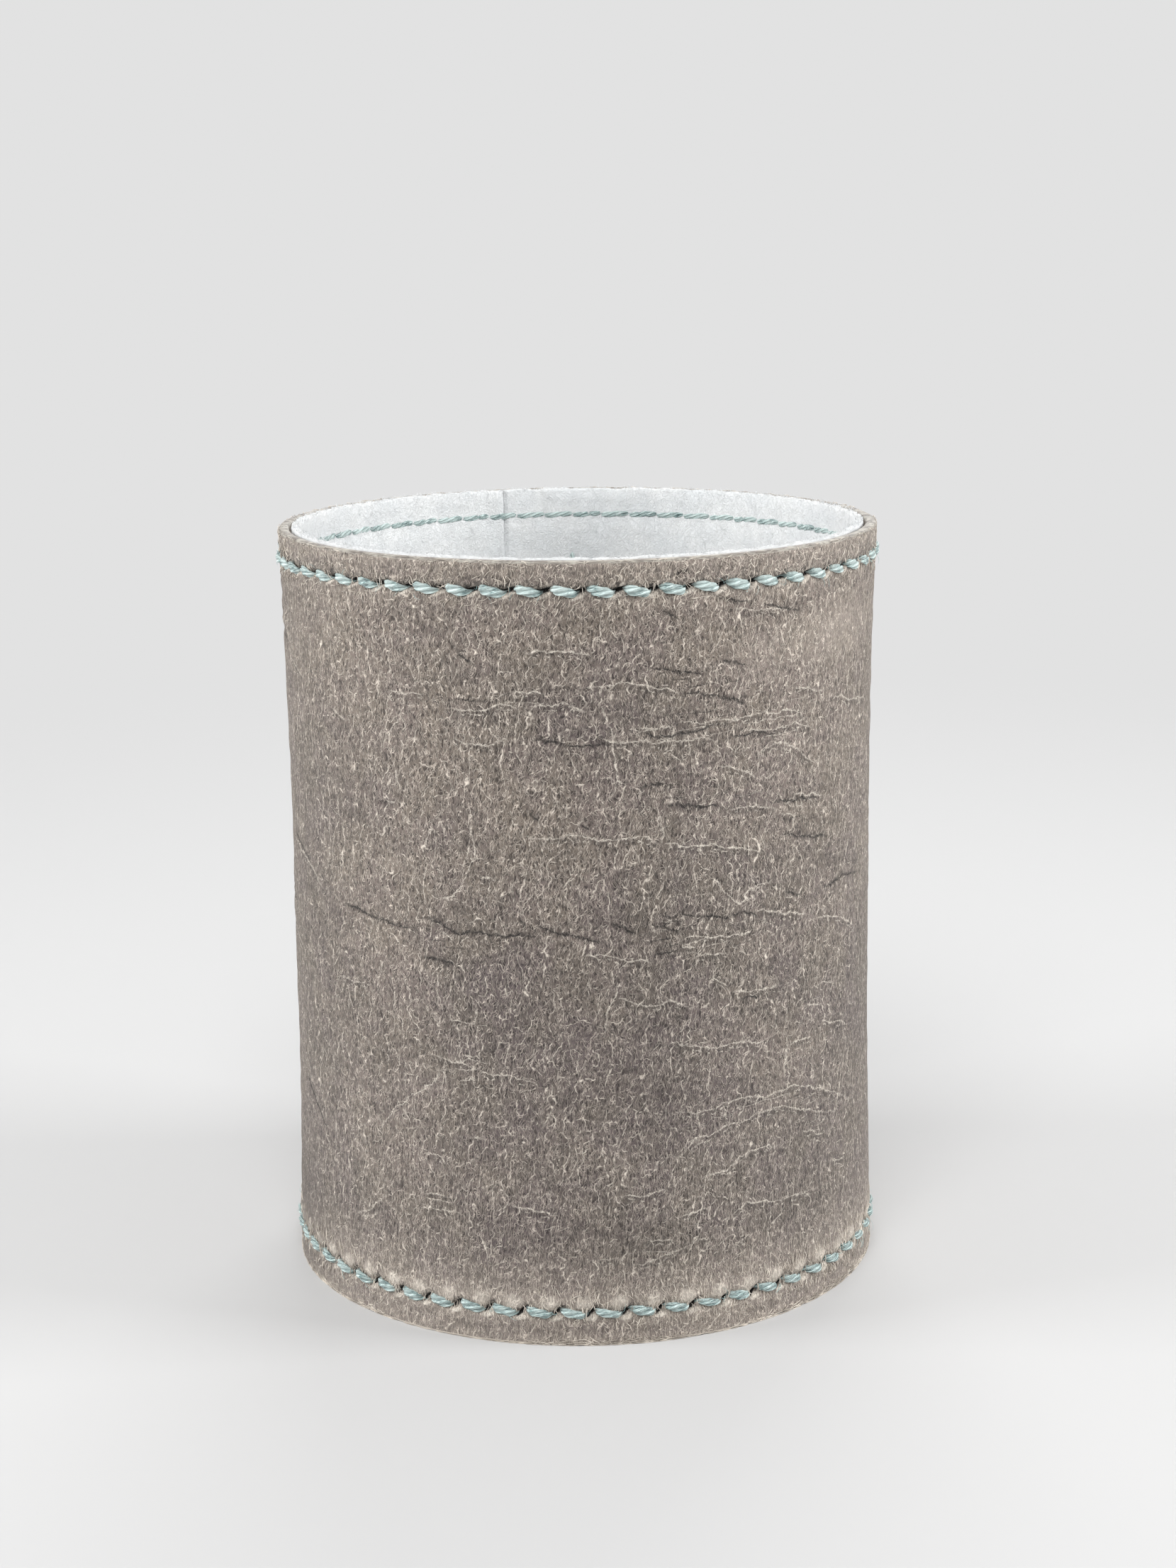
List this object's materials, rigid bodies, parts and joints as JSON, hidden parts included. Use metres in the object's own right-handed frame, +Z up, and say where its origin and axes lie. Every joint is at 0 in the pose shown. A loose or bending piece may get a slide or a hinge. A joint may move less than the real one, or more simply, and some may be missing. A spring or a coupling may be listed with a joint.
{
  "type": "can cooler sleeve",
  "caption": "Open leather tube with a felt lining and hand-stitched rims, which slides over a tall drinks can to keep it cool and dry to hold.",
  "frame": {"origin": "centre of the lower rim, on the surface that the sleeve stands on", "axes": "+Z up along the sleeve, +Y towards the lapped seam at the back, -Y towards the front in the picture"},
  "size_m": [0.0736, 0.0736, 0.092],
  "materials": {
    "leather": "matt grey-brown hide with a pale fibrous nap",
    "felt": "white wool felt with a fuzzy edge",
    "thread": "waxed multi-strand teal thread"
  },
  "bodies": {
    "root": {"outer_leather": "leather", "felt_lining": "felt", "top_stitching": "thread", "bottom_stitching": "thread", "seam_stitching": "thread"}
  },
  "joints": []
}
